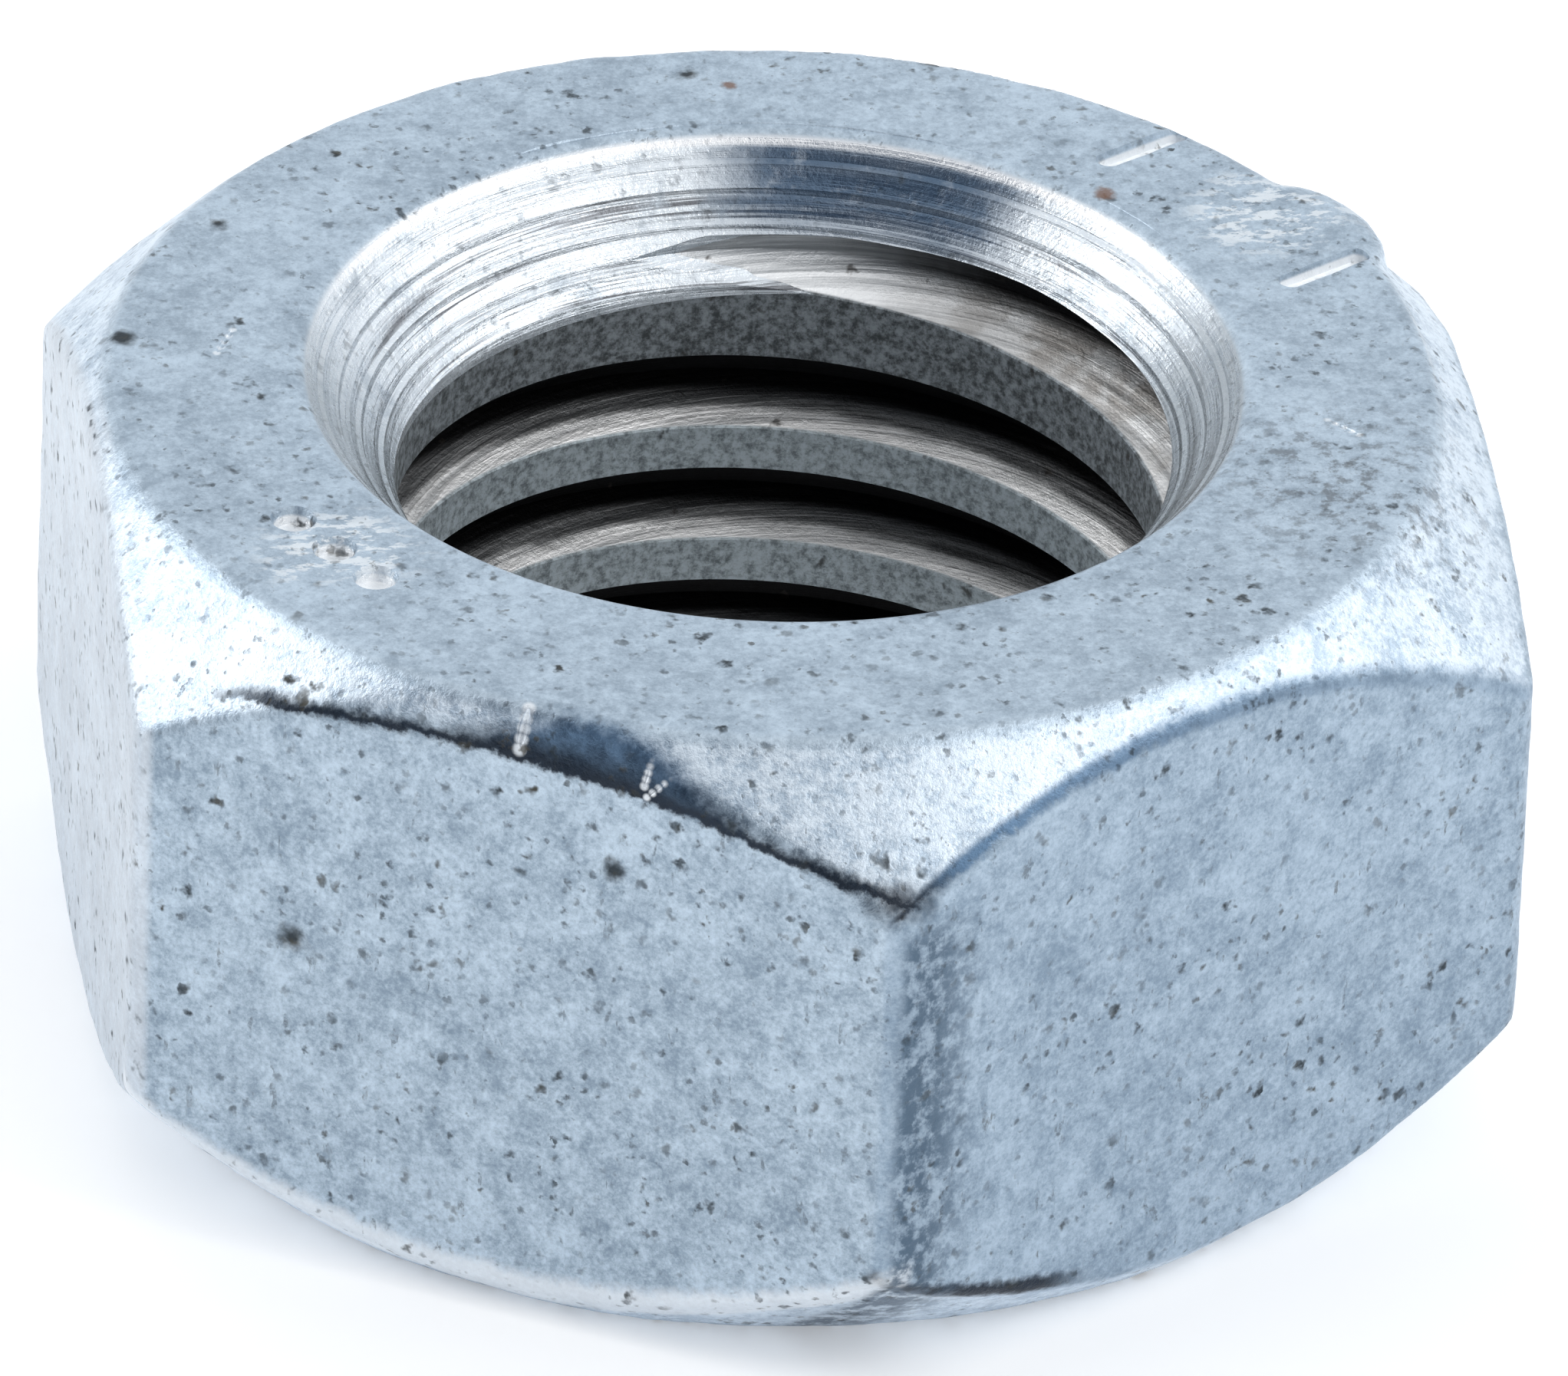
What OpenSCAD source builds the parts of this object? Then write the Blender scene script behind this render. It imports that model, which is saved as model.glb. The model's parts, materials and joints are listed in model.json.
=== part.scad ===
// Hexagon nut, M8 coarse right-hand thread, chamfered on both sides and hot-dip galvanised.
// Millimetres. The origin is the middle of the lower bearing face, and +Z runs up the thread.
// Two flats face +X and -X, so two corners point along +Y and -Y.

/* [Hexagon] */
// Width across the flats, over the zinc
across_flats = 13; // [10.5:0.1:16]
// Height between the two bearing faces, over the zinc
nut_height = 6.5; // [5.2:0.1:9]
// How far the rim of a bearing face lies inside the flats
rim_inset = 0.35; // [0.1:0.05:0.6]
// Slope of the corner chamfers, measured from the bearing face
chamfer_angle = 45; // [20:1:50]

/* [Thread] */
// Diameter of the plain bore that the thread crests leave
crest_d = 7.2; // [6:0.05:8.7]
// Radial depth of the thread groove, from crest to root
thread_depth = 0.565; // [0.4:0.005:0.7]
// Rise of the thread in one turn
pitch = 1.25; // [1:0.05:1.75]
// Width of the flat at the bottom of the groove
root_flat = 0.16; // [0.1:0.01:0.2]
// Angle between the two flanks of the groove
flank_angle = 60; // [50:1:60]
// Direction in which the middle of the groove leaves the lower bearing face
thread_start = -33; // [-180:1:180]

/* [Countersinks] */
// How far the mouth of a countersink stands outside the thread roots
mouth_margin = 0.235; // [0.05:0.005:0.4]
// Included angle of the countersinks
csk_angle = 78; // [50:1:120]

/* [Zinc] */
// Thickness of the zinc
coat_t = 0.06; // [0.04:0.005:0.1]

/* [Stamped marks] */
// Length of each plain bar, with its round ends
bar_l = 1.05; // [0.6:0.05:1.2]
// Width of each plain bar
bar_w = 0.26; // [0.15:0.01:0.35]
// Distance between the middle lines of the two bars
bar_spacing = 2.7; // [2:0.1:3.2]
// How far the middles of the bars lie inside the rim of the bearing face
bar_inset = 0.6; // [0.55:0.05:0.9]
// Diameter of each plain dot
dot_d = 0.42; // [0.3:0.02:0.5]
// Distance between the middles of neighbouring dots
dot_spacing = 0.62; // [0.55:0.01:0.8]
// How far the middle dot lies inside the rim of the bearing face
dot_inset = 0.9; // [0.7:0.05:1.1]
// Depth of the stamped marks
mark_depth = 0.12; // [0.05:0.01:0.2]

/* [Hidden] */
$fn = 144;

// Directions of the two groups of marks, which lie at opposite corners
bars_at = 30;
dots_at = 210;
// How far the cutting shapes run past the faces that they cut through
over = 1;
// Gap between neighbouring turns of the groove's cutter, at its inner edge inside the bore
cutter_gap = 0.04;
// Straight pieces in one turn of the groove
groove_steps = 48;

crest_r = crest_d / 2;
root_r = crest_r + thread_depth;
mouth_r = root_r + mouth_margin;
rim_r = across_flats / 2 - rim_inset;

// The hexagon, shrunk by a skin on every side
module hexagon(skin) {
    translate([0, 0, skin])
        rotate(30)
            cylinder(h = nut_height - 2 * skin, d = (across_flats - 2 * skin) / cos(30), $fn = 6);
}

// The turned shape whose two cones leave the chamfers on the hexagon's corners
module chamfer_turning(skin) {
    top_r = rim_r - skin * tan(chamfer_angle / 2);
    low = skin;
    high = nut_height - skin;
    fall = (high - low) / 2;
    belly_r = top_r + fall / tan(chamfer_angle);
    rotate_extrude()
        polygon([[0, low], [top_r, low], [belly_r, low + fall], [top_r, high], [0, high]]);
}

// The space of one countersink, opening upwards from the lower end of its cone
module countersink(skin) {
    half = csk_angle / 2;
    face_r = mouth_r + skin * tan((90 - half) / 2);
    top = nut_height - skin;
    depth = (face_r - crest_r) / tan(half) + over;
    translate([0, 0, top - depth])
        cylinder(h = depth + over, r1 = face_r - depth * tan(half), r2 = face_r + over * tan(half));
}

// A shape repeated at the lower bearing face
module both_faces() {
    children();
    translate([0, 0, nut_height])
        mirror([0, 0, 1])
            children();
}

// One stamped bar, along X, sunk from the upper bearing face
module bar(skin) {
    half_run = (bar_l - bar_w) / 2;
    deep = mark_depth + skin;
    translate([0, 0, nut_height - deep]) {
        translate([-half_run, -bar_w / 2 - skin, 0])
            cube([2 * half_run, bar_w + 2 * skin, deep + over]);
        for (side = [-1, 1])
            translate([side * half_run, 0, 0])
                cylinder(h = deep + over, d = bar_w + 2 * skin);
    }
}

// The two bars at one corner and the row of three dots at the opposite one
module stamped_marks(skin) {
    bar_x = sqrt(pow(rim_r - bar_inset, 2) - pow(bar_spacing / 2, 2));
    for (side = [-1, 1])
        rotate(bars_at)
            translate([bar_x, side * bar_spacing / 2, 0])
                bar(skin);
    for (place = [-1, 0, 1])
        rotate(dots_at)
            translate([rim_r - dot_inset, place * dot_spacing, nut_height - mark_depth - skin])
                cylinder(h = mark_depth + skin + over, d = dot_d + 2 * skin);
}

// The forged blank before tapping, shrunk by a skin on every outer face
module blank(skin) {
    difference() {
        intersection() {
            hexagon(skin);
            chamfer_turning(skin);
        }
        both_faces()
            countersink(skin);
        stamped_marks(skin);
    }
}

// The plain bore, as wide as the thread crests
module bore() {
    translate([0, 0, -over])
        cylinder(h = nut_height + 2 * over, r = crest_r);
}

// The helical groove of a right-hand thread, from one pitch below the nut to past its top
module thread_groove() {
    root_half = root_flat / 2;
    in_half = (pitch - cutter_gap) / 2;
    in_r = root_r - (in_half - root_half) / tan(flank_angle / 2);
    section = [[in_r, -in_half], [root_r, -root_half], [root_r, root_half], [in_r, in_half]];
    turns = ceil(nut_height / pitch) + 2;
    rings = turns * groove_steps;
    points = [for (i = [0:rings]) for (p = section)
        let (turn = i / groove_steps, angle = thread_start + 360 * turn)
        [p[0] * cos(angle), p[0] * sin(angle), p[1] + pitch * (turn - 1)]];
    walls = [for (i = [0:rings - 1]) for (k = [0:3])
        let (a = 4 * i + k, b = 4 * i + (k + 1) % 4)
        each [[a, b, a + 4], [b, b + 4, a + 4]]];
    last = 4 * rings;
    ends = [[2, 1, 0], [3, 2, 0], [last, last + 1, last + 2], [last, last + 2, last + 3]];
    polyhedron(points, concat(walls, ends));
}

// The steel nut, with its bare thread
module steel_body() {
    color([0.52, 0.52, 0.51])
        difference() {
            blank(coat_t);
            bore();
            thread_groove();
        }
}

// The zinc over every outer face and both countersinks, cut through by the thread
module zinc_coat() {
    color([0.66, 0.71, 0.77])
        difference() {
            blank(0);
            blank(coat_t);
            bore();
            thread_groove();
        }
}

steel_body();
zinc_coat();
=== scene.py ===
# %% [markdown]
# # A galvanised hexagon nut, modelled on a bare bench
# This lesson builds the finish of one plain hexagon nut. The nut is a forged and tapped piece of
# steel under a thin skin of zinc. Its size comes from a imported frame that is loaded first, and every
# piece made here is laid over the piece of that frame which it stands for.

# %% Load the frame
import json
import math

import bpy
from mathutils import Matrix, Vector


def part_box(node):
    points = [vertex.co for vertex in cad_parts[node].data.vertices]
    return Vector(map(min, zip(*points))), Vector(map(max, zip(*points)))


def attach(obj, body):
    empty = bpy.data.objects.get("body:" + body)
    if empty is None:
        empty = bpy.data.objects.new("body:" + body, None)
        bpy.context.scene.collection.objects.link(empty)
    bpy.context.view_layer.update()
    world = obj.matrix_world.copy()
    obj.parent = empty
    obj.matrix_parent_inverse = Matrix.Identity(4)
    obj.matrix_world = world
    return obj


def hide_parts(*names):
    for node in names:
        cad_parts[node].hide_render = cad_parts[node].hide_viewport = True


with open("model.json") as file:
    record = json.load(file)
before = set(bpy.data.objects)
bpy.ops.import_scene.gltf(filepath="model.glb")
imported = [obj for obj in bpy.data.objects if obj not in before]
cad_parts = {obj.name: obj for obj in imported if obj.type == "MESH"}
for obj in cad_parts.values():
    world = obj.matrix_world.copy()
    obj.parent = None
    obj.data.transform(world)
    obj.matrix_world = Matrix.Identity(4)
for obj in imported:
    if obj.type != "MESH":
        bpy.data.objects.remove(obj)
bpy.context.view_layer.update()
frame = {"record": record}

MM = 0.001
low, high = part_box("zinc_coat")
flat_r = high.x
height = high.z
flat_mm, height_mm = flat_r / MM, height / MM
thread_mount = next(m for m in frame["record"]["mounts"] if m["name"] == "thread")
crest_r = thread_mount["dims"]["r_mm"] * MM
coat_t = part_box("steel_body")[0].z - low.z
print(f"across flats {2 * flat_r / MM:.2f} mm, height {height / MM:.2f} mm,"
      f" crest radius {crest_r / MM:.2f} mm, zinc {coat_t / MM:.3f} mm")

# %% [markdown]
# ## Bench habits
# Operators act on whatever is selected, so each step starts by selecting one object only. A modifier
# is added, given its settings and applied at once, so that the next step works on real mesh.

# %% Bench helpers
def only(piece):
    bpy.ops.object.select_all(action="DESELECT")
    piece.select_set(True)
    bpy.context.view_layer.objects.active = piece


def name_new(name):
    piece = bpy.context.object
    piece.name = name
    piece.data.name = name
    return piece


def settle(piece):
    """Writes the object's own place, turn and scale into its mesh."""
    only(piece)
    bpy.ops.object.transform_apply()


def finish_with(piece, kind, **settings):
    only(piece)
    modifier = piece.modifiers.new(kind.lower(), kind)
    for key, value in settings.items():
        setattr(modifier, key, value)
    bpy.ops.object.modifier_apply(modifier=modifier.name)


def scrap(*pieces):
    for piece in pieces:
        bpy.data.objects.remove(piece)


def combine(piece, tool, operation):
    finish_with(piece, "BOOLEAN", object=tool, operation=operation, solver="MANIFOLD")


def cut(piece, tool):
    combine(piece, tool, "DIFFERENCE")
    scrap(tool)


def report(piece):
    triangles = sum(len(face.vertices) - 2 for face in piece.data.polygons)
    print(f"{piece.name}: {triangles} triangles, {[round(x / MM, 2) for x in piece.dimensions]} mm")


def pick(piece, kind, wanted):
    """Enters edit mode with only the wanted vertices or edges selected."""
    only(piece)
    bpy.ops.object.mode_set(mode="EDIT")
    bpy.ops.mesh.select_mode(type=kind)
    bpy.ops.mesh.select_all(action="DESELECT")
    bpy.ops.object.mode_set(mode="OBJECT")
    vertices = piece.data.vertices
    if kind == "VERT":
        for vertex in vertices:
            vertex.select = wanted(vertex.co)
    else:
        for edge in piece.data.edges:
            edge.select = wanted(*(vertices[i].co for i in edge.vertices))
    bpy.ops.object.mode_set(mode="EDIT")


def toward(azimuth, elevation=0.0):
    """The direction at an angle round Z from +X and an angle up, in degrees."""
    a, e = math.radians(azimuth), math.radians(elevation)
    return Vector((math.cos(a) * math.cos(e), math.sin(a) * math.cos(e), math.sin(e)))


# %% [markdown]
# ## A lathe
# Most of a nut is turned, so one helper does a lathe's work. It extrudes a point along an outline of
# radii and heights, spins the outline round Z, and closes the seam and the poles.

# %% Lathe
def turned(name, outline, steps=180):
    bpy.ops.object.select_all(action="DESELECT")
    bpy.ops.mesh.primitive_plane_add(size=MM)
    piece = name_new(name)
    bpy.ops.object.mode_set(mode="EDIT")
    bpy.ops.mesh.select_mode(type="VERT")
    bpy.ops.mesh.select_all(action="SELECT")
    bpy.ops.mesh.merge(type="CENTER")
    bpy.ops.transform.translate(value=(outline[0][0], 0, outline[0][1]))
    for (r0, z0), (r1, z1) in zip(outline, outline[1:]):
        bpy.ops.mesh.extrude_region_move(TRANSFORM_OT_translate={"value": (r1 - r0, 0, z1 - z0)})
    bpy.ops.mesh.select_all(action="SELECT")
    bpy.ops.mesh.spin(steps=steps, angle=2 * math.pi, center=(0, 0, 0), axis=(0, 0, 1))
    bpy.ops.mesh.select_all(action="SELECT")
    bpy.ops.mesh.remove_doubles(threshold=1e-7)
    bpy.ops.mesh.normals_make_consistent(inside=False)
    bpy.ops.object.mode_set(mode="OBJECT")
    return piece


# %% [markdown]
# ## The forged blank
# A nut starts as a hexagonal slug. Its corners are turned back to a cone, and where the cone meets
# the six flats it leaves the curved edges that everyone knows from a nut. Here the slug is a
# six-sided cylinder with its long edges bevelled. One flat has rolled over along its top, which a
# tilted bisect cuts away.

# %% Hexagonal slug
def hexagonal_slug(name, skin):
    bpy.ops.object.select_all(action="DESELECT")
    bpy.ops.mesh.primitive_cylinder_add(vertices=6, radius=(flat_r - skin) / math.cos(math.radians(30)),
                                        depth=height - 2 * skin, location=(0, 0, height / 2))
    slug = name_new(name)
    settle(slug)
    pick(slug, "EDGE", lambda one, other: abs(one.z - other.z) > height / 2)
    bpy.ops.mesh.bevel(offset=0.16 * MM, segments=3, affect="EDGES")
    rolled_no = toward(240, 21)
    rolled_co = toward(240) * flat_r + Vector((0, 0, height - 0.52 * MM)) - rolled_no * skin
    bpy.ops.mesh.select_all(action="SELECT")
    bpy.ops.mesh.bisect(plane_co=rolled_co, plane_no=rolled_no, use_fill=True, clear_outer=True,
                        threshold=1e-7)
    bpy.ops.object.mode_set(mode="OBJECT")
    return slug


# %% Chamfer turning
rim_r = flat_r - 0.35 * MM
chamfer_steps = ((0, 0), (0.45, 0.44), (0.95, 0.95), (1.7, 1.85))
top_lean = Vector((-0.13, -0.08, 0)) * MM


def chamfer_turning(name, skin):
    top = height - skin
    rim = rim_r - 0.4 * skin
    belly = [(rim + out * MM, top - drop * MM) for out, drop in chamfer_steps]
    upper = belly[::-1] + [(0, top)]
    lower = [(r, height - z) for r, z in reversed(upper)]
    piece = turned(name, lower + upper)
    pick(piece, "VERT", lambda point: point.z > height / 2)
    bpy.ops.transform.translate(value=top_lean)
    bpy.ops.object.mode_set(mode="OBJECT")
    return piece


def blank(name, skin):
    piece = hexagonal_slug(name, skin)
    turning = chamfer_turning("turning", skin)
    combine(piece, turning, "INTERSECT")
    scrap(turning)
    return piece


skin_form = blank("skin_form", 0)
report(skin_form)

# %% [markdown]
# ## Zinc on the blank
# Molten zinc rounds every edge a little and never lies quite flat. A voxel remesh turns the crisp
# blank into an even net of small faces, smoothing softens its edges, and three sizes of cloud
# displace it by hundredths of a millimetre. A bruised lump on the rim goes on before the remesh,
# so that it melts into the rest.

# %% Bruise on the rim
bpy.ops.object.select_all(action="DESELECT")
bpy.ops.mesh.primitive_uv_sphere_add(segments=48, ring_count=24, radius=MM)
bruise = name_new("bruise")
bruise.scale = (0.42, 0.85, 0.2)
bruise.rotation_euler = (0, 0, math.radians(24))
bruise.location = toward(24) * 6.02 * MM + Vector((0, 0, height - 0.16 * MM))
settle(bruise)
combine(skin_form, bruise, "UNION")
scrap(bruise)

# %% Remesh, soften and roughen
grain = 0.081 * MM
finish_with(skin_form, "REMESH", mode="VOXEL", voxel_size=grain)
finish_with(skin_form, "SMOOTH", factor=0.5, iterations=4)


def cloud(name, size):
    texture = bpy.data.textures.new(name, "CLOUDS")
    texture.noise_scale = size
    texture.noise_depth = 2
    return texture


for name, size, strength in (("rolling", 2.6 * MM, 0.06 * MM), ("hammering", 0.9 * MM, 0.03 * MM),
                             ("dimpling", 0.3 * MM, 0.014 * MM)):
    finish_with(skin_form, "DISPLACE", texture=cloud(name, size), texture_coords="LOCAL",
                strength=strength, mid_level=0.5)
report(skin_form)

# %% [markdown]
# ## Countersinks
# Both mouths of the hole are turned out to a cone, so that the first turn of thread doesn't stand up
# in a burr. The turning tool leaves uneven rings, which are made here as real ridges in the cutter.
# The upper cone sits a little off centre, as a hand-fed tool leaves it.

# %% Countersink cutter
root_r = crest_r + 0.565 * MM
mouth_r = root_r + 0.235 * MM
csk_half = math.radians(39)
cone_run = Vector((math.sin(csk_half), math.cos(csk_half)))
cone_side = Vector((math.cos(csk_half), -math.sin(csk_half)))
lip = 0.1 * MM
cut_past = 1.0 * MM
csk_lean = Vector((-0.08, 0.15, 0)) * MM


def countersink_outline(skin, rings):
    """From the axis up the cone and out over the lip, as (radius, height) points."""
    mouth = mouth_r + skin * math.tan((math.pi / 2 - csk_half) / 2)
    brink = Vector((mouth, height - skin))
    run = (mouth - crest_r + 0.5 * MM) / math.sin(csk_half)
    foot = brink - cone_run * run
    points = [Vector((0, foot.y)), foot]
    for i in range(1, rings):
        ridge = 0.011 * MM * (1 if i % 2 else -1) * (0.55 + 0.45 * math.sin(5.1 * i))
        points.append(foot + cone_run * (run - lip) * i / rings + cone_side * ridge)
    if rings:
        for k in range(6):
            over = k / 5
            points.append(brink - cone_run * lip * (1 - over) ** 2 + Vector((lip * over ** 2, 0)))
        points.append(brink + Vector((lip + 0.03 * MM, 0.03 * MM)))
        points.append(points[-1] + Vector((0, cut_past)))
    else:
        points.append(brink + cone_run * cut_past)
    points.append(Vector((0, points[-1].y)))
    return [tuple(p) for p in points]


def countersink(piece, outline, steps):
    upper = turned("upper_countersink", outline, steps)
    upper.location = csk_lean
    settle(upper)
    cut(piece, upper)
    cut(piece, turned("lower_countersink", [(r, height - z) for r, z in outline], steps))


countersink(skin_form, countersink_outline(0, 34), 256)
report(skin_form)

# %% [markdown]
# ## Stamped marks
# Two plain bars and three plain dots are stamped into the upper face. A stamp has sloping sides, so
# each cutter is a stud whose lower end is drawn in, and a bar's stud is pulled out to its length.

# %% Bars and dots
bar_l, bar_w, bar_spacing, bar_inset = 1.05 * MM, 0.26 * MM, 2.7 * MM, 0.6 * MM
dot_d, dot_spacing, dot_inset = 0.42 * MM, 0.62 * MM, 0.9 * MM
mark_depth = 0.12 * MM
bars_at, dots_at = math.radians(30), math.radians(210)


def stamp(place, turn, length, width, deeper):
    bpy.ops.object.select_all(action="DESELECT")
    bpy.ops.mesh.primitive_cone_add(vertices=24, radius1=width * 0.36, radius2=width * 0.62 + deeper,
                                    depth=2 * mark_depth + 2 * deeper)
    tool = name_new("stamp")
    for side in (-1, 1):
        pick(tool, "VERT", lambda point: side * point.x > 1e-9)
        bpy.ops.transform.translate(value=(side * (length - width) / 2, 0, 0))
        bpy.ops.object.mode_set(mode="OBJECT")
    tool.location = Matrix.Rotation(turn, 3, "Z") @ Vector(place) + Vector((0, 0, height - coat_t * 0.2))
    tool.rotation_euler = (0, 0, turn)
    settle(tool)
    return tool


def stamp_marks(piece, deeper):
    bar_x = math.sqrt((rim_r - bar_inset) ** 2 - (bar_spacing / 2) ** 2)
    for side in (-1, 1):
        cut(piece, stamp((bar_x, side * bar_spacing / 2, 0), bars_at, bar_l, bar_w, deeper))
    for side in (-1, 0, 1):
        cut(piece, stamp((rim_r - dot_inset, side * dot_spacing, 0), dots_at, dot_d, dot_d, deeper))


stamp_marks(skin_form, 0)

# %% [markdown]
# ## Knocks
# Nuts travel loose in boxes and knock each other. Each knock is a long thin sphere, laid from one
# end of a scratch to the other, sunk a few hundredths of a millimetre and taken away.

# %% Knocks
# start and end in mm, half width and depth in mm
knocks = (((-3.14, -5.46, 6.47), (-3.24, -5.59, 6.12), 0.05, 0.035),
          ((-2.12, -6.16, 6.3), (-2.19, -6.22, 6.06), 0.035, 0.03),
          ((-1.97, -6.31, 6.18), (-2.17, -6.26, 5.96), 0.03, 0.025),
          ((4.9, -1.2, 6.51), (5.15, -1.5, 6.51), 0.03, 0.03),
          ((-5.2, 0.9, 6.51), (-5.0, 1.3, 6.51), 0.03, 0.03))


def knock_between(start, end, half_width, depth):
    start, end = Vector(start) * MM, Vector(end) * MM
    bpy.ops.object.select_all(action="DESELECT")
    bpy.ops.mesh.primitive_uv_sphere_add(segments=32, ring_count=16, radius=MM)
    knock = name_new("knock")
    knock.scale = ((end - start).length / 2 / MM, half_width, depth)
    knock.rotation_euler = (end - start).to_track_quat("X", "Z").to_euler()
    knock.location = (start + end) / 2
    settle(knock)
    return knock


for knock_shape in knocks:
    cut(skin_form, knock_between(*knock_shape))
report(skin_form)

# %% [markdown]
# ## The thread
# A tap cuts one long groove that climbs a pitch in each turn. Its cutter here is the groove's own
# section, swept by a Screw modifier, and taken out of the steel and of the zinc alike. The flanks of
# the section carry small ridges, because a tap's teeth leave lines along the groove.

# %% Groove cutter
pitch = 1.25 * MM
root_flat = 0.16 * MM
thread_start = math.radians(-33)


def flank_points(start, end, ridges, ridge):
    """Points along one flank, alternately in and out by a ridge."""
    start, end = Vector(start), Vector(end)
    across = (end - start).orthogonal().normalized()
    return [tuple(start.lerp(end, i / ridges) + across * ridge * math.sin(2.4 * i) * (0 < i < ridges))
            for i in range(ridges + 1)]


def groove_cutter():
    in_half = (pitch - 0.04 * MM) / 2
    in_r = root_r - (in_half - root_flat / 2) / math.tan(math.radians(30))
    section = (flank_points((in_r, -in_half), (root_r, -root_flat / 2), 14, 0.008 * MM)
               + flank_points((root_r, root_flat / 2), (in_r, in_half), 14, 0.008 * MM))
    bpy.ops.object.select_all(action="DESELECT")
    bpy.ops.mesh.primitive_plane_add(size=MM)
    tool = name_new("groove_cutter")
    bpy.ops.object.mode_set(mode="EDIT")
    bpy.ops.mesh.select_mode(type="VERT")
    bpy.ops.mesh.select_all(action="SELECT")
    bpy.ops.mesh.merge(type="CENTER")
    bpy.ops.transform.translate(value=(section[0][0], 0, section[0][1] - pitch))
    for (r0, z0), (r1, z1) in zip(section, section[1:]):
        bpy.ops.mesh.extrude_region_move(TRANSFORM_OT_translate={"value": (r1 - r0, 0, z1 - z0)})
    bpy.ops.mesh.select_all(action="SELECT")
    bpy.ops.mesh.edge_face_add()
    bpy.ops.mesh.delete(type="ONLY_FACE")
    bpy.ops.object.mode_set(mode="OBJECT")
    turns = math.ceil(height / pitch) + 2
    finish_with(tool, "SCREW", axis="Z", angle=2 * math.pi, screw_offset=pitch, iterations=turns,
                steps=96, render_steps=96)
    bpy.ops.object.mode_set(mode="EDIT")
    bpy.ops.mesh.select_all(action="DESELECT")
    bpy.ops.mesh.select_non_manifold()
    bpy.ops.mesh.edge_face_add()
    bpy.ops.mesh.select_all(action="SELECT")
    bpy.ops.mesh.normals_make_consistent(inside=False)
    bpy.ops.object.mode_set(mode="OBJECT")
    tool.rotation_euler = (0, 0, thread_start)
    settle(tool)
    return tool


groove = groove_cutter()
report(groove)

# %% [markdown]
# ## Where the thread runs out
# The last turn under the upper face climbs a little faster and gets shallower, until it fades into
# the countersink. No operator pulls a spiral in along its own length, so each point of the cutter is
# moved here by how deep below the face its part of the spiral lies.

# %% Fade the last turn
def smooth(value, start, end):
    t = min(max((value - start) / (end - start), 0), 1)
    return t * t * (3 - 2 * t)


for vertex in groove.data.vertices:
    angle = math.atan2(vertex.co.y, vertex.co.x)
    climb = pitch * (angle - thread_start) / (2 * math.pi)
    centre = climb + pitch * round((vertex.co.z - climb) / pitch)
    depth = (height - centre) / MM
    vertex.co.z += 0.2 * MM * smooth(depth, 2.0, 1.4)
    pull = min(0.165 * (max(1.247 - depth, 0) / 0.139) ** 1.5, 0.7) * MM
    vertex.co.xy *= 1 - pull / vertex.co.xy.length

# %% [markdown]
# ## Steel core and zinc skin
# A second blank, smaller by the thickness of the coat, is the steel. Taken out of the first one it
# leaves the zinc as a thin skin. The plain bore and the groove then go through both, so the zinc
# stops where the tap cut through it, and the thread is bare steel.

# %% Steel core and zinc skin
core = blank("core", coat_t * 1.5)
countersink(core, countersink_outline(coat_t, 0), 144)
stamp_marks(core, coat_t)
bore_end = height + cut_past
bore = turned("bore", [(0, -cut_past), (crest_r, -cut_past), (crest_r, bore_end), (0, bore_end)], 256)

zinc = skin_form
zinc.name = zinc.data.name = "zinc_skin"
combine(zinc, core, "DIFFERENCE")
steel = core
steel.name = steel.data.name = "tapped_steel"
for piece in (zinc, steel):
    combine(piece, bore, "DIFFERENCE")
    combine(piece, groove, "DIFFERENCE")
    pick(piece, "VERT", lambda point: True)
    bpy.ops.mesh.dissolve_degenerate(threshold=1e-7)
    bpy.ops.object.mode_set(mode="OBJECT")
    bpy.ops.object.shade_smooth_by_angle(angle=math.radians(27))
    report(piece)
scrap(bore, groove)

# %% [markdown]
# ## Finishes
# Each finish is a tree of nodes on Object coordinates, scaled so that one unit is a millimetre. A
# tree of bare nodes is hard to read, so a small helper adds a node with its settings, does sums with
# plain names, turns a value into a soft mask, and lays one colour over another like a coat of paint.

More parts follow.
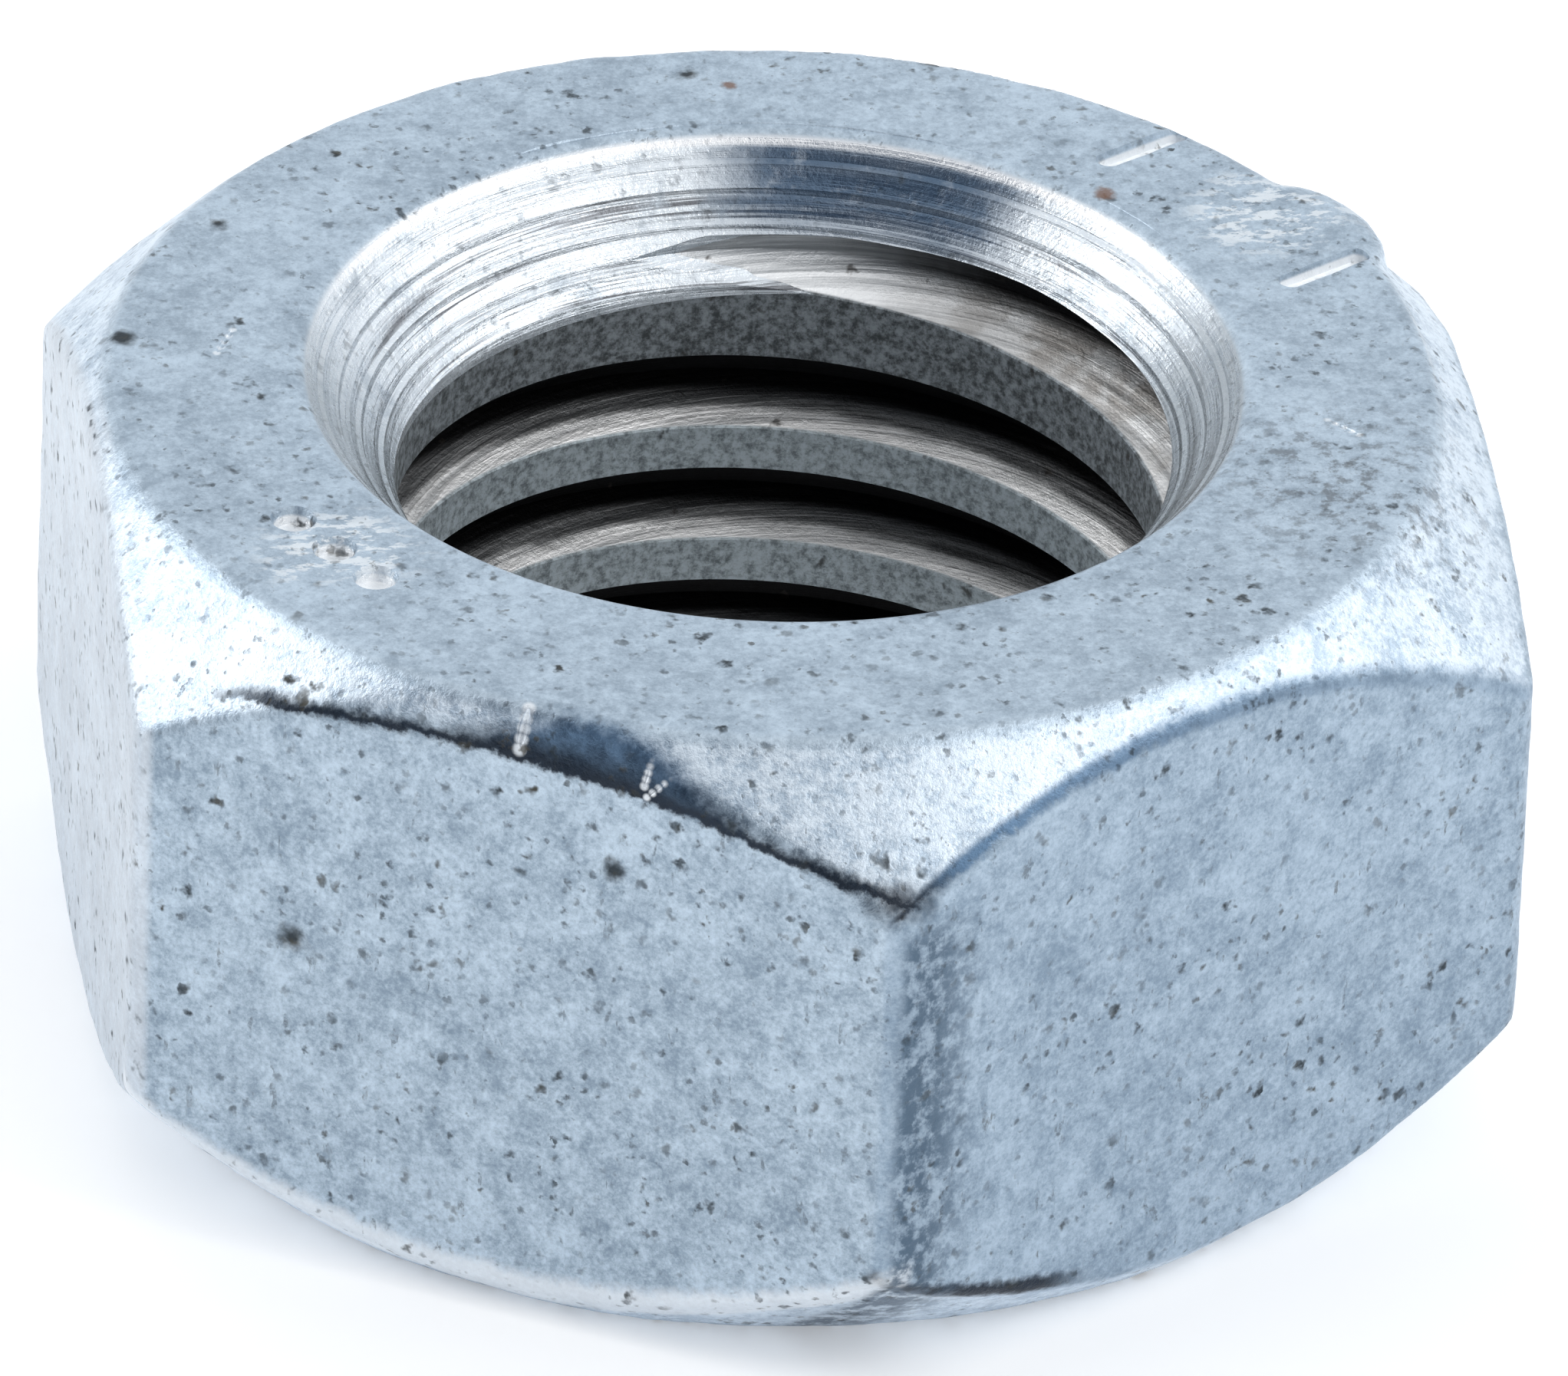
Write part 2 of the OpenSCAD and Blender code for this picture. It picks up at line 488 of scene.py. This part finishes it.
# %% Node helper
class Finish:
    """A procedural material, with the place on its piece at hand in millimetres."""

    def __init__(self, name):
        self.material = bpy.data.materials.new(name)
        self.material.use_nodes = True
        self.tree = self.material.node_tree
        self.shader = self.tree.nodes["Principled BSDF"]
        coordinates = self.tree.nodes.new("ShaderNodeTexCoord")
        to_mm = self.node("Mapping", {"Vector": coordinates.outputs["Object"], "Scale": (1 / MM,) * 3})
        self.place = to_mm.outputs[0]
        self.x, self.y, self.z = self.node("SeparateXYZ", {"Vector": self.place}).outputs
        self.radius = self.math("SQRT", self.plus(self.times(self.x, self.x), self.times(self.y, self.y)))
        self.painted = (1, 1, 1)

    def node(self, kind, sockets, **settings):
        made = self.tree.nodes.new("ShaderNode" + kind)
        for key, value in settings.items():
            setattr(made, key, value)
        for key, value in sockets.items():
            if isinstance(value, bpy.types.NodeSocket):
                self.tree.links.new(value, made.inputs[key])
            else:
                made.inputs[key].default_value = value
        return made

    def math(self, operation, *values):
        return self.node("Math", dict(enumerate(values)), operation=operation).outputs[0]

    def vector(self, operation, first, second):
        return self.node("VectorMath", {0: first, 1: second}, operation=operation)

    def chain(self, operation, values):
        result = values[0]
        for value in values[1:]:
            result = self.math(operation, result, value)
        return result

    def plus(self, *values):
        return self.chain("ADD", values)

    def times(self, *values):
        return self.chain("MULTIPLY", values)

    def highest(self, *values):
        return self.chain("MAXIMUM", values)

    def less(self, value, taken):
        return self.math("SUBTRACT", value, taken)

    def size(self, value):
        return self.math("ABSOLUTE", value)

    def mask(self, value, start, end, full=1.0, none=0.0):
        """none where the value is at start or before it, full where it is at end or past it."""
        low_end, high_end = (start, end) if start < end else (end, start)
        to = (none, full) if start < end else (full, none)
        made = self.node("MapRange", {0: value, 1: low_end, 2: high_end, 3: to[0], 4: to[1]},
                         interpolation_type="SMOOTHSTEP", clamp=True)
        return made.outputs[0]

    def noise(self, scale, detail=2.0, rough=0.5, stretch=(1, 1, 1), shift=(0, 0, 0)):
        where = self.place
        if stretch != (1, 1, 1) or shift != (0, 0, 0):
            where = self.node("Mapping", {"Vector": where, "Scale": stretch, "Location": shift}).outputs[0]
        sockets = {"Vector": where, "Scale": scale, "Detail": detail, "Roughness": rough}
        return self.node("TexNoise", sockets).outputs[0]

    def mix(self, factor, first, second):
        first, second = (self.colour(c) for c in (first, second))
        return self.node("Mix", {0: factor, 6: first, 7: second}, data_type="RGBA").outputs[2]

    @staticmethod
    def colour(value):
        return value if isinstance(value, bpy.types.NodeSocket) else (*value, 1)

    def paint(self, colour, *masks):
        """Lays a colour over what is painted already, as far as all the masks allow."""
        self.painted = self.mix(self.times(*masks), self.painted, colour)

    def wear(self, piece, gloss, relief, depth, metal):
        """Joins the painted colour, the roughness and the fine relief up, and puts them on a piece."""
        bump = self.node("Bump", {"Height": relief, "Strength": 0.9, "Distance": depth})
        joins = {"Base Color": self.painted, "Roughness": gloss, "Normal": bump.outputs[0]}
        for socket, value in joins.items():
            self.tree.links.new(value, self.shader.inputs[socket])
        self.shader.inputs["Metallic"].default_value = metal
        piece.data.materials.clear()
        piece.data.materials.append(self.material)
        print(f"{self.material.name}: {len(self.tree.nodes)} nodes")


# %% [markdown]
# ## Marks on a worn surface
# Spots, scratches, specks and edge lines need a few shapes more. A spot is a distance from a place,
# with noise added to fray its edge. A scratch is a row of spots. Specks are the cells of a Voronoi
# net, of which only some are drawn. An edge line follows the curve that a chamfer leaves on a flat,
# which is close to a parabola.

# %% Shapes of marks
class WornFinish(Finish):
    def near(self, place, reach, soft=0.5, ragged=0.0):
        """1 close to a place in mm, 0 beyond its reach, with an edge as ragged as asked for."""
        away = self.vector("DISTANCE", self.place, place).outputs["Value"]
        if ragged:
            blot = self.less(self.noise(0.9 / reach, 3, 0.65), 0.5)
            away = self.plus(away, self.times(blot, reach * ragged))
        return self.mask(away, reach, reach * (1 - soft))

    def streak(self, start, end, reach, spots=5):
        """A thin mark from one place in mm to another."""
        start, end = Vector(start), Vector(end)
        return self.highest(0.0, *(self.near(start.lerp(end, i / (spots - 1)), reach, 0.6)
                                   for i in range(spots)))

    def along(self, across, up):
        """A straight sum of x and y, such as the distance along a flat or off it."""
        return self.plus(self.times(self.x, across), self.times(self.y, up))

    def edge_height(self, along, centre, drop, bend):
        """Height in mm of the curved edge at the top of a flat, from the distance along the flat."""
        off_centre = self.less(along, centre)
        return self.less(height_mm - drop, self.times(off_centre, off_centre, bend))

    def specks(self, scale, size, share, wobble, shift=0.0):
        """Small irregular spots, in a share of the cells of a Voronoi net."""
        warp = self.node("TexNoise", {"Vector": self.place, "Scale": scale * 2.2, "Detail": 2.0})
        bent = self.vector("MULTIPLY", warp.outputs["Color"], (wobble,) * 3).outputs[0]
        moved = self.vector("ADD", self.place, bent).outputs[0]
        moved = self.vector("ADD", moved, (shift, shift * 0.7, shift * 1.3)).outputs[0]
        net = self.node("TexVoronoi", {"Vector": moved, "Scale": scale})
        draw = self.node("SeparateColor", {0: net.outputs["Color"]})
        chosen = self.mask(draw.outputs[0], 1 - share, 1 - share * 0.85)
        reach = self.times(self.plus(self.times(draw.outputs[1], 0.8), 0.45), size * scale)
        inside = self.less(reach, net.outputs["Distance"])
        return self.times(self.mask(inside, 0.0, size * scale * 0.8), chosen)


# %% [markdown]
# ## Galvanised zinc
# Old zinc is a soft blue-grey, mottled in patches from a fraction of a millimetre to a few
# millimetres, and grainy close up. Four noises of falling size add up to one tone, which picks
# between a dull and a fresh grey. The bearing faces are a little paler than the rest, and the left
# flat is painted paler still, as painted light from the left.

# %% Zinc colour
skin = WornFinish("galvanised_zinc")
broad = skin.noise(0.55, 3, 0.6)
patch = skin.noise(1.9, 5, 0.62, shift=(3, 1, 7))
mottle = skin.noise(5.5, 4, 0.68)
grit = skin.noise(17, 3, 0.75)
tone = skin.plus(skin.times(broad, 0.2), skin.times(patch, 0.42), skin.times(mottle, 0.5),
                 skin.times(grit, 0.5))
dull_zinc, fresh_zinc = (0.205, 0.275, 0.35), (0.54, 0.65, 0.755)
skin.painted = skin.mix(skin.mask(tone, 0.57, 1.04), dull_zinc, fresh_zinc)

# %% Paler faces and painted light on the left flat
depth_here = skin.math("MINIMUM", skin.z, skin.less(height_mm, skin.z))
on_face = skin.times(skin.mask(depth_here, 0.09, 0.04), skin.mask(skin.radius, flat_mm, flat_mm - 0.2))
skin.paint((0.78, 0.88, 0.98), on_face, 0.16)
# Painted light: the left flat is painted paler, standing in for the light from the left that falls on it.
on_left_flat = skin.mask(skin.x, 0.2 - flat_mm, 0.1 - flat_mm)
skin.paint((0.74, 0.765, 0.8), on_left_flat, 0.45)

# %% [markdown]
# ## Turned zinc
# The countersink is cut bright, with dark rings where the tool chattered. Noise that is stretched
# flat round Z and squeezed along it gives such rings. A blue-black painted reflection lies on the
# bore's back, the front of the mouth is dull, and a white painted highlight lies on the lip at the back.

# %% Countersinks
mouth_mm = mouth_r / MM
in_mouth = skin.times(skin.mask(skin.radius, mouth_mm + 0.26, mouth_mm + 0.16),
                      skin.mask(depth_here, 0.025, 0.08))
rings = skin.noise(1.0, 4, 0.75, stretch=(0.16, 0.16, 15))
ring_lines = skin.mask(rings, 0.45, 0.39)
rings_wide = skin.noise(1.0, 2, 0.6, stretch=(0.3, 0.3, 5), shift=(5, 2, 1))
deeper_rings = skin.mask(skin.z, 6.3, 5.9, 1.0, 0.35)
drawn_rings = skin.times(ring_lines, skin.mask(rings_wide, 0.38, 0.6), deeper_rings)
turned_zinc = skin.mix(drawn_rings, (0.76, 0.82, 0.88), (0.13, 0.135, 0.15))
turned_zinc = skin.mix(skin.mask(patch, 0.52, 0.7, 0.7), turned_zinc, (0.4, 0.46, 0.52))
dull_front = skin.mask(skin.plus(skin.y, skin.times(patch, 1.5)), 2.9, 0.8)
turned_zinc = skin.mix(skin.times(dull_front, 0.75), turned_zinc, (0.3, 0.34, 0.37))
skin.paint(turned_zinc, in_mouth)

# %% Painted dark reflection and painted highlight at the back of the mouth
# Painted reflection: a blue-black patch of dark reflection is painted on the back of the countersink.
reflection_side = toward(70)
facing_reflection = skin.math("DIVIDE", skin.along(reflection_side.x, reflection_side.y), skin.radius)
facing_reflection = skin.plus(facing_reflection, skin.times(skin.less(patch, 0.5), 0.05))
painted_dark_reflection = skin.times(skin.mask(facing_reflection, 0.91, 0.985), skin.mask(skin.z, 5.55, 6.05),
                   skin.mask(mottle, 0.25, 0.5, 1.0, 0.75), in_mouth,
                   skin.mask(rings_wide, 0.3, 0.5, 1.0, 0.8))
skin.paint((0.05, 0.1, 0.175), painted_dark_reflection, 0.93)
# Painted highlight: a white line is painted along the lip at the back.
lip_highlight = skin.times(skin.mask(skin.z, 6.36, 6.41), skin.mask(skin.y, 1.5, 3.0))
skin.paint((0.95, 0.97, 1.0), lip_highlight, in_mouth, 0.9)

# %% [markdown]
# ## Rubbed zinc and painted highlights
# The chamfers are painted paler, as rubbed zinc with a painted highlight on top. The floors of the
# stamped marks are rubbed bright, and the face round the marks is scuffed. The chamfer is found as
# the place that is off all six flats and off both faces.

# %% Bright places
off_flat = skin.less(flat_mm, skin.highest(skin.size(skin.x), skin.size(skin.along(0.5, 0.866)),
                                           skin.size(skin.along(0.5, -0.866))))
on_chamfer = skin.times(skin.mask(off_flat, 0.03, 0.12), skin.mask(depth_here, 0.04, 0.14),
                        skin.mask(skin.radius, 5.2, 5.6))
# The chamfers are painted paler: rubbed zinc, with a painted highlight where they tilt up to the lamps.
rubbed_and_highlight = skin.mix(skin.mask(tone, 0.66, 0.92), (0.42, 0.52, 0.63), (0.72, 0.81, 0.9))
skin.paint(rubbed_and_highlight, on_chamfer, 0.9)
in_stamp = skin.times(skin.mask(skin.radius, 4.7, 4.8), skin.mask(skin.radius, 6.1, 6.0),
                      skin.mask(skin.z, 6.455, 6.42), skin.mask(skin.z, 6.25, 6.3))
skin.paint((0.92, 0.94, 0.96), in_stamp)
scratchy = skin.mask(skin.noise(4.5, 4, 0.7, stretch=(0.7, 1.6, 1), shift=(4, 4, 1)), 0.5, 0.57)
scuffed = skin.highest(skin.near((4.95, 2.55, 6.5), 0.95, 0.6, 1.0),
                       skin.near((-4.5, -2.6, 6.5), 0.95, 0.6, 1.0))
skin.paint((0.88, 0.92, 0.95), scuffed, scratchy, on_face, 0.75)

# %% [markdown]
# ## Dark edges
# Painted shade lies along the edges of the two front flats and on the front corner, and the
# rolled-over top of the left one carries a painted blue-black reflection, darkest at its lower edge.
# Each mark is laid out by the distance along its flat, the distance off that flat, and the height
# over the curved edge, which noise makes waver.

# %% Places on the two front flats
along_left, along_right = skin.along(0.866, -0.5), skin.along(0.866, 0.5)
off_left = skin.plus(skin.along(0.5, 0.866), flat_mm)
off_right = skin.plus(skin.along(-0.5, 0.866), flat_mm)
waver = skin.times(skin.less(mottle, 0.5), 0.22)
over_left = skin.plus(skin.less(skin.z, skin.edge_height(along_left, -0.6, 0.44, 0.037)), waver)
over_right = skin.plus(skin.less(skin.z, skin.edge_height(along_right, -0.3, 0.32, 0.073)), waver)

# %% Rolled band and dark lines
bulge = skin.math("DIVIDE", skin.less(along_left, 0.8), 1.15)
bulge = skin.math("EXPONENT", skin.times(bulge, bulge, -1.0))
under_band_top = skin.less(skin.plus(skin.times(bulge, 0.53), 0.07), over_left)
rolled_band = skin.times(skin.mask(over_left, -0.06, 0.02), skin.mask(under_band_top, -0.05, 0.22),
                         skin.mask(off_left, 0.4, 0.2), skin.mask(along_left, -3.0, -1.4))
left_line = skin.times(skin.mask(over_left, -0.06, 0.0), skin.mask(over_left, 0.15, 0.02),
                       skin.mask(off_left, 0.3, 0.2), skin.mask(along_left, -3.6, -2.4))
right_line = skin.times(skin.mask(skin.size(over_right), 0.13, 0.02), skin.mask(off_right, 0.16, 0.08),
                        skin.mask(along_right, 3.4, -3.0, 1.0, 0.3))
low_right = skin.less(height_mm, skin.edge_height(along_right, -0.3, 0.46, 0.073))
over_low_right = skin.plus(skin.less(skin.z, low_right), waver)
low_line = skin.times(skin.mask(skin.size(over_low_right), 0.15, 0.04), skin.mask(off_right, 0.2, 0.1),
                      skin.mask(along_right, -1.2, -1.9))
# Painted shade on the front corner.
corner_shade = skin.near((0.0, -7.4, 5.42), 0.4, 0.8, 1.5)
painted_shade_edge = skin.highest(rolled_band, left_line, right_line, low_line, corner_shade)

# %% Paint the shade on the edges and the right flat, the knocks, and the floor's reflection on the lower edge
# Painted shade: the front-right flat is tinted a darker blue than the left one.
right_flat = skin.mask(skin.size(off_right), 0.16, 0.1)
skin.paint((0.17, 0.27, 0.4), right_flat, 0.22)
# Painted shade and painted dark reflection along the edges and on the rolled band, in blue-black.
edge_shade_colour = skin.mix(skin.mask(over_left, 0.03, 0.4), (0.008, 0.014, 0.026), (0.1, 0.18, 0.29))
edge_shade_colour = skin.mix(skin.mask(tone, 0.9, 0.66, 0.4), edge_shade_colour, (0.014, 0.028, 0.052))
skin.paint(edge_shade_colour, painted_shade_edge, 0.97)
for start, end, half_width, _ in knocks:
    skin.paint((0.82, 0.87, 0.92), skin.streak(start, end, half_width * 1.7), 0.85)
# Painted reflection of the pale floor along the lower edge of the front-left flat.
low_left = skin.less(height_mm, skin.edge_height(along_left, 0.0, 0.38, 0.066))
over_low_left = skin.plus(skin.less(skin.z, low_left), waver)
skin.paint((0.82, 0.86, 0.9), skin.mask(over_low_left, 0.24, 0.06), skin.mask(off_left, 0.3, 0.2), 0.7)

# %% [markdown]
# ## Dirt and rust
# Dark specks of three sizes sit on the zinc, thicker in some places than in others, with fine hairs
# between them. A dark blue band runs down the front-right flat beside the corner between the two
# front flats, and dirt smears one side of the upper face.
# A few larger blots and rust spots are placed one by one, because an even pattern looks like paint.

# %% Specks and hairs
crowded = skin.mask(skin.noise(0.9, 3, 0.6, shift=(9, 4, 2)), 0.4, 0.6, 1.0, 0.45)
tiny = skin.specks(8.0, 0.046, 0.55, 0.1, 9.0)
fine = skin.specks(4.6, 0.072, 0.6, 0.2)
medium = skin.specks(2.7, 0.08, 0.45, 0.34, 4.0)
hair = skin.times(skin.mask(skin.noise(7, 3, 0.6, stretch=(1, 1, 0.35), shift=(2, 8, 5)), 0.36, 0.3),
                  skin.mask(grit, 0.4, 0.6))
dirt = skin.times(skin.highest(skin.times(tiny, 0.8), fine, medium), crowded)
dirt = skin.times(skin.highest(dirt, skin.times(hair, 0.6)), skin.mask(mottle, 0.3, 0.6, 1.0, 0.6),
                  skin.mask(in_mouth, 0.0, 1.0, 0.5, 1.0))

# %% Blots, smears, a dark band by the front corner, and rust
blots = (((-6.05, 1.28, 6.5), 0.2), ((-0.12, 5.6, 6.5), 0.16), ((2.25, 5.64, 6.5), 0.18),
         ((-4.9, 3.2, 6.5), 0.14), ((-2.42, -6.11, 5.11), 0.16), ((-5.12, -4.55, 3.54), 0.2))
dirt = skin.highest(dirt, *(skin.near(place, reach, 0.8, 1.4) for place, reach in blots))
half_side = flat_mm * math.tan(math.radians(30))
from_corner = skin.plus(along_right, half_side, skin.times(waver, 1.6))
corner_band = skin.times(skin.mask(from_corner, -0.04, 0.12), skin.mask(from_corner, 1.15, 0.3),
                   skin.mask(skin.y, -5.9, -6.3), skin.mask(skin.z, 5.3, 4.9),
                   skin.mask(mottle, 0.62, 0.42, 1.0, 0.3))
# A dark blue band down the front-right flat, beside the front corner.
skin.paint((0.07, 0.115, 0.17), corner_band, 0.92)
side_dirt = skin.times(skin.near((4.9, -2.4, 6.5), 1.9, 0.8, 0.8), skin.mask(mottle, 0.5, 0.36))
skin.paint((0.13, 0.135, 0.14), side_dirt, 0.6)
dirt_colour = skin.mix(skin.mask(patch, 0.5, 0.62), (0.03, 0.04, 0.048), (0.06, 0.055, 0.04))
skin.paint(dirt_colour, dirt, 0.96)
rust = skin.highest(skin.near((3.5, 3.04, 6.5), 0.14, 0.6, 1.2), skin.near((0.25, 5.35, 6.5), 0.1, 0.7, 1.2),
                    skin.near((-3.6, -6.0, 4.6), 0.1, 0.7, 1.2))
skin.paint((0.2, 0.09, 0.04), rust, 0.8)

# %% Zinc gloss and grain
relief = skin.less(skin.plus(skin.times(grit, 0.5), skin.times(mottle, 0.8)), skin.times(dirt, 0.6))
relief = skin.plus(relief, skin.times(rings, in_mouth, 1.2))
gloss = skin.plus(skin.mask(mottle, 0.3, 0.7, 0.5, 0.36), skin.times(dirt, 0.2))
gloss = skin.less(gloss, skin.times(in_mouth, 0.16))
skin.wear(zinc, gloss, relief, depth=0.018 * MM, metal=0.8)

# %% [markdown]
# ## Tapped steel
# The crests are what is left of the plain bore, dull and grey. The flanks are cut clean and shine,
# with lines along the thread. Each flank is painted darker towards the root as painted shade, and
# the roots are painted black, partly cutting oil and scale and partly painted shade. Where the last
# turn opens into the countersink, the flank shows whole and is browned on one side.

# %% Flanks
bare = WornFinish("bare_steel")
speckle = bare.noise(11, 5, 0.75)
lines = bare.noise(1.0, 4, 0.7, stretch=(0.2, 0.2, 16))
cloudy = bare.noise(1.6, 3, 0.6)
bright_flank = bare.mix(bare.mask(lines, 0.34, 0.6), (0.5, 0.51, 0.52), (0.95, 0.95, 0.95))
# Painted shade: the flank is painted darker towards the root, a shaded copy of the bright flank.
shaded_flank = bare.mix(bare.mask(lines, 0.38, 0.64), (0.08, 0.083, 0.086), (0.28, 0.285, 0.29))
up_the_flank = bare.plus(bare.radius, bare.times(bare.less(cloudy, 0.5), 0.16))
bare.painted = bare.mix(bare.mask(up_the_flank, 3.68, 3.86), bright_flank, shaded_flank)
top_flank = bare.mix(bare.mask(lines, 0.34, 0.6), (0.42, 0.44, 0.46), (0.9, 0.92, 0.94))
browned = bare.times(bare.mask(bare.x, 0.8, 3.0), bare.mask(cloudy, 0.4, 0.6, 0.7, 0.3))
top_flank = bare.mix(browned, top_flank, (0.16, 0.135, 0.11))
bare.paint(top_flank, bare.mask(bare.z, 4.75, 5.15))

# %% Crests, roots and spots
crest = bare.mix(bare.mask(speckle, 0.34, 0.66), (0.085, 0.095, 0.1), (0.36, 0.4, 0.43))
deep_crest = bare.mix(bare.mask(speckle, 0.3, 0.62), (0.18, 0.21, 0.225), (0.55, 0.62, 0.66))
crest = bare.mix(bare.mask(bare.z, 4.5, 3.7), crest, deep_crest)
on_crest = bare.mask(bare.radius, 3.635, 3.61)
bare.paint(crest, on_crest)
# Painted shade and cutting oil: the roots are painted black.
shade_and_oil_from = bare.less(bare.radius, bare.mask(bare.z, 4.95, 5.25, 0.11))
bare.paint((0.012, 0.012, 0.013), bare.mask(shade_and_oil_from, 3.86, 4.05))
bare.paint((0.05, 0.045, 0.04), bare.specks(4.5, 0.06, 0.2, 0.2), 0.8)

# %% Steel gloss and grain
bare_relief = bare.plus(bare.times(lines, 0.7), bare.times(speckle, 0.6))
bare_gloss = bare.plus(bare.times(on_crest, 0.26), 0.34)
bare.wear(steel, bare_gloss, bare_relief, depth=0.02 * MM, metal=0.85)

# %% [markdown]
# ## Ride on the frame
# Both meshes stand for a piece of the imported frame. Each one rides on the frame's only body, hides
# the plain piece that it replaces, and prints the slot that its finish belongs to.

# %% Bodies and slots
for piece, node, slot in ((zinc, "zinc_coat", "galvanised_zinc"), (steel, "steel_body", "bare_steel")):
    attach(piece, "root")
    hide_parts(node)
    print(f"{piece.name} stands for {node}, in {slot}")

# %% [markdown]
# ## Studio
# The nut stands on a plain pale floor under even light and three soft lamps. One dim place in the
# room gives the bright metal something to mirror, and the floor glows faintly, so that the shadow
# on it stays soft.

# %% Floor
bpy.ops.object.select_all(action="DESELECT")
bpy.ops.mesh.primitive_plane_add(size=4)
floor = name_new("floor")
paper = bpy.data.materials.new("pale_floor")
paper.use_nodes = True
paper_shader = paper.node_tree.nodes["Principled BSDF"]
paper_shader.inputs["Base Color"].default_value = (0.93, 0.93, 0.935, 1)
paper_shader.inputs["Roughness"].default_value = 0.9
paper_shader.inputs["Specular IOR Level"].default_value = 0.1
paper_shader.inputs["Emission Color"].default_value = (1, 1, 1, 1)
paper_shader.inputs["Emission Strength"].default_value = 0.22
floor.data.materials.append(paper)

# %% Room light
world = bpy.data.worlds.new("studio")
bpy.context.scene.world = world
world.use_nodes = True
room = world.node_tree
sky = room.nodes["Background"]
heading = room.nodes.new("ShaderNodeTexCoord").outputs["Generated"]


def room_patch(colour_in, azimuth, elevation, half_width, soft, colour):
    """Gives the room another colour round one direction, with its angles in degrees."""
    facing = room.nodes.new("ShaderNodeVectorMath")
    facing.operation = "DOT_PRODUCT"
    facing.inputs[1].default_value = toward(azimuth, elevation)
    room.links.new(heading, facing.inputs[0])
    edge = room.nodes.new("ShaderNodeMapRange")
    edge.interpolation_type = "SMOOTHSTEP"
    edge.inputs[1].default_value = math.cos(math.radians(half_width + soft))
    edge.inputs[2].default_value = math.cos(math.radians(half_width - soft))
    room.links.new(facing.outputs["Value"], edge.inputs[0])
    mixer = room.nodes.new("ShaderNodeMix")
    mixer.data_type = "RGBA"
    room.links.new(edge.outputs[0], mixer.inputs[0])
    if isinstance(colour_in, bpy.types.NodeSocket):
        room.links.new(colour_in, mixer.inputs[6])
    else:
        mixer.inputs[6].default_value = (*colour_in, 1)
    mixer.inputs[7].default_value = (*colour, 1)
    return mixer.outputs[2]


tint = room_patch((1.0, 1.0, 1.0), 80, 34, 32, 14, (0.86, 0.9, 0.94))
tint = room_patch(tint, -130, 33, 26, 10, (0.03, 0.06, 0.11))
room.links.new(tint, sky.inputs["Color"])
sky.inputs["Strength"].default_value = 1.0
bpy.context.scene.view_settings.view_transform = "Standard"


# %% Lamps
lamp_distance = 0.2


def softbox(name, azimuth, elevation, size, power):
    away = toward(azimuth, elevation)
    bpy.ops.object.light_add(type="AREA", location=away * lamp_distance + Vector((0, 0, height / 2)))
    light = bpy.context.object
    light.name = name
    light.rotation_mode = "QUATERNION"
    light.rotation_quaternion = away.to_track_quat("Z", "Y")
    light.data.size = size
    light.data.energy = power


softbox("right_box", azimuth=0, elevation=34, size=0.09, power=0.05)
softbox("front_right_box", azimuth=-34, elevation=46, size=0.06, power=0.04)
softbox("left_box", azimuth=160, elevation=26, size=0.1, power=0.1)

# %% [markdown]
# ## Camera
# The nut is small and seen from close by through a long lens, a little from the left and from well
# above. The camera is held with a slight roll, and aims just past the middle of the nut.

# %% Camera
azimuth, elevation, roll = -99.6, 32.0, math.radians(2.3)
distance = 182 * MM
back = toward(azimuth, elevation)
base = back.to_track_quat("Z", "Y").to_matrix()
aim = Vector((0, 0, height / 2)) + base @ Vector((0.105 * MM, -0.124 * MM, 0))
bpy.ops.object.camera_add(location=aim + back * distance)
camera = bpy.context.object
camera.rotation_mode = "QUATERNION"
camera.rotation_quaternion = (base @ Matrix.Rotation(roll, 3, "Z")).to_quaternion()
camera.data.sensor_width = 36
camera.data.lens = 446.354
camera.data.clip_start, camera.data.clip_end = 0.01, 10
bpy.context.scene.camera = camera
